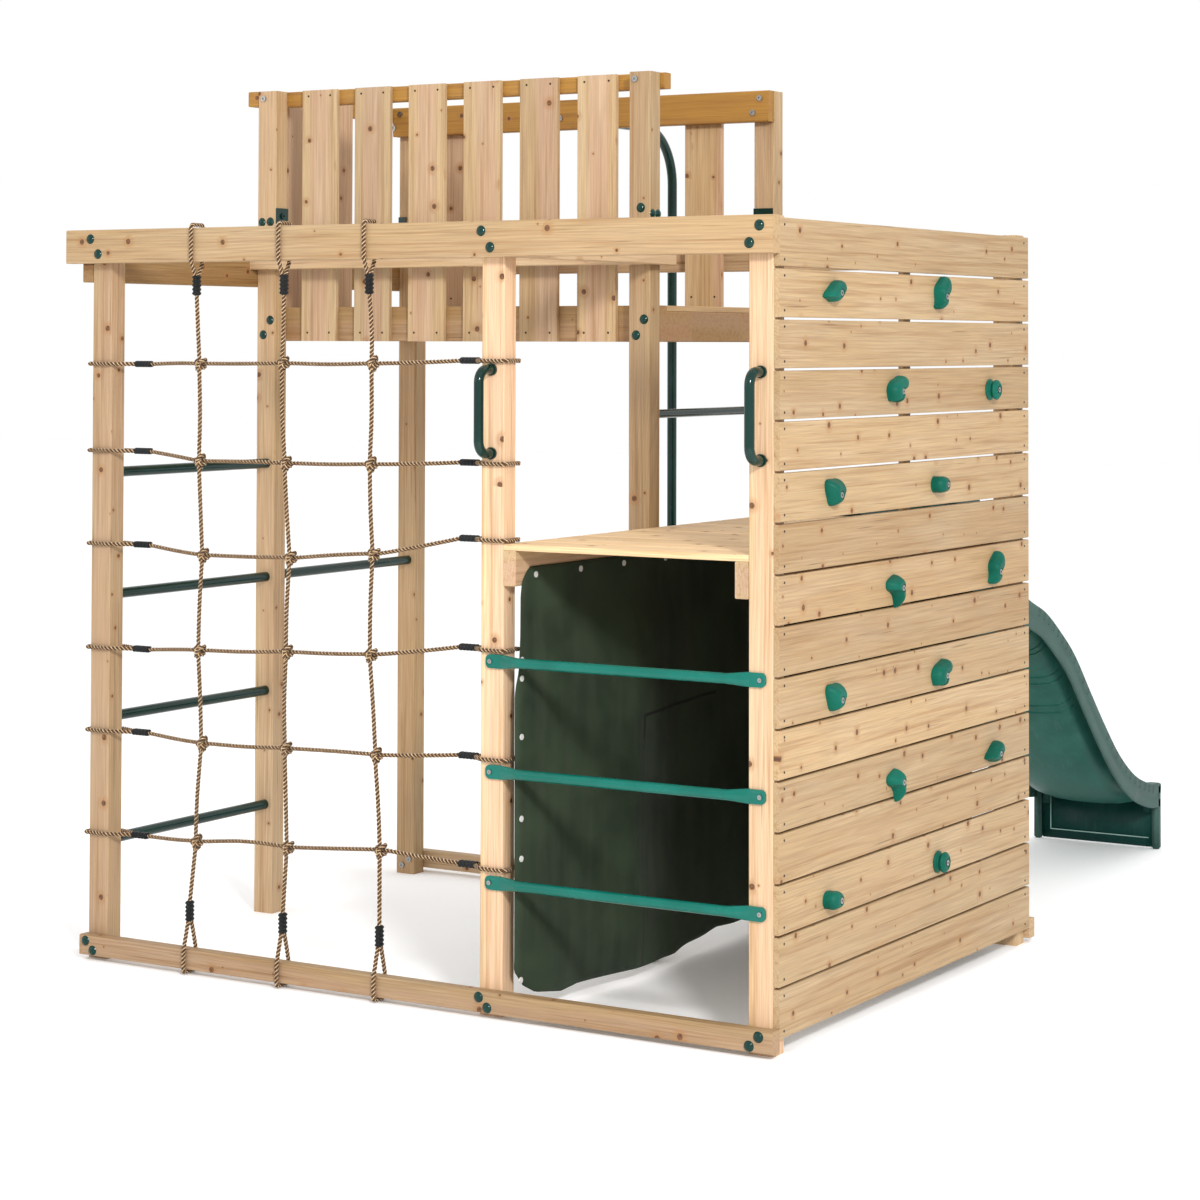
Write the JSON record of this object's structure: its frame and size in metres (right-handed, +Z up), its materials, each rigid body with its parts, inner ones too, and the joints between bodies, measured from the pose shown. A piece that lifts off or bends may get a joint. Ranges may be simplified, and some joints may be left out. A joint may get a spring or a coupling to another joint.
{
  "type": "climbing frame with rock climbing wall",
  "caption": "Free-standing timber climbing frame: board wall with moulded holds, rope scramble net, ladder side, den under a deck, slatted balcony, pole and wave slide.",
  "frame": {"origin": "on the ground, in the middle of the frame and slide's footprint", "axes": "+Z up, +X towards the rock wall's outer face, +Y from the net side towards the end of the slide"},
  "size_m": [2.312, 3.35, 2.515],
  "materials": {
    "frame_timber": "planed softwood, pale yellow tan with knots",
    "board_timber": "planed softwood boards, pale with knots",
    "hold_plastic": "moulded emerald green",
    "rope": "laid tan rope with brown flecks",
    "ferrule_plastic": "black sleeve",
    "dark_green_steel": "glossy dark green coating",
    "green_steel": "glossy emerald green coating",
    "cap_plastic": "domed dark green cap",
    "zinc_steel": "galvanised",
    "cover_cloth": "dark green woven cover cloth",
    "slide_plastic": "dark bluish green moulded plastic, fine grained"
  },
  "bodies": {
    "root": {"angle_plates": "dark_green_steel", "barrier_rails": "frame_timber", "barrier_slats": "board_timber", "beam_back_bottom": "frame_timber", "beam_back_top": "frame_timber", "beam_cross_top": "frame_timber", "beam_front_bottom": "frame_timber", "beam_front_top": "frame_timber", "beam_inner_top": "frame_timber", "beam_left_top": "frame_timber", "bolt_caps": "cap_plastic", "cross_bars": "dark_green_steel", "deck_boards": "board_timber", "deck_joists": "frame_timber", "den_cover": "cover_cloth", "den_fixings": "zinc_steel", "den_rungs": "green_steel", "firemans_pole": "dark_green_steel", "floor_beams": "frame_timber", "floor_boards": "board_timber", "grab_handles": "dark_green_steel", "hold_01": "hold_plastic", "hold_02": "hold_plastic", "hold_03": "hold_plastic", "hold_04": "hold_plastic", "hold_05": "hold_plastic", "hold_06": "hold_plastic", "hold_07": "hold_plastic", "hold_08": "hold_plastic", "hold_09": "hold_plastic", "hold_10": "hold_plastic", "hold_11": "hold_plastic", "hold_12": "hold_plastic", "hold_13": "hold_plastic", "hold_14": "hold_plastic", "ladder_rungs": "dark_green_steel", "nails": "zinc_steel", "net_ferrules": "ferrule_plastic", "net_row_1": "rope", "net_row_2": "rope", "net_row_3": "rope", "net_row_4": "rope", "net_row_5": "rope", "net_row_6": "rope", "net_upright_1": "rope", "net_upright_2": "rope", "net_upright_3": "rope", "post_back_left": "frame_timber", "post_back_mid": "frame_timber", "post_back_right": "frame_timber", "post_front_left": "frame_timber", "post_front_mid": "frame_timber", "post_front_right": "frame_timber", "post_middle_centre": "frame_timber", "post_middle_left": "frame_timber", "slide": "slide_plastic", "steel_bolts": "zinc_steel", "wall_batten": "frame_timber", "wall_boards": "board_timber"}
  },
  "joints": []
}
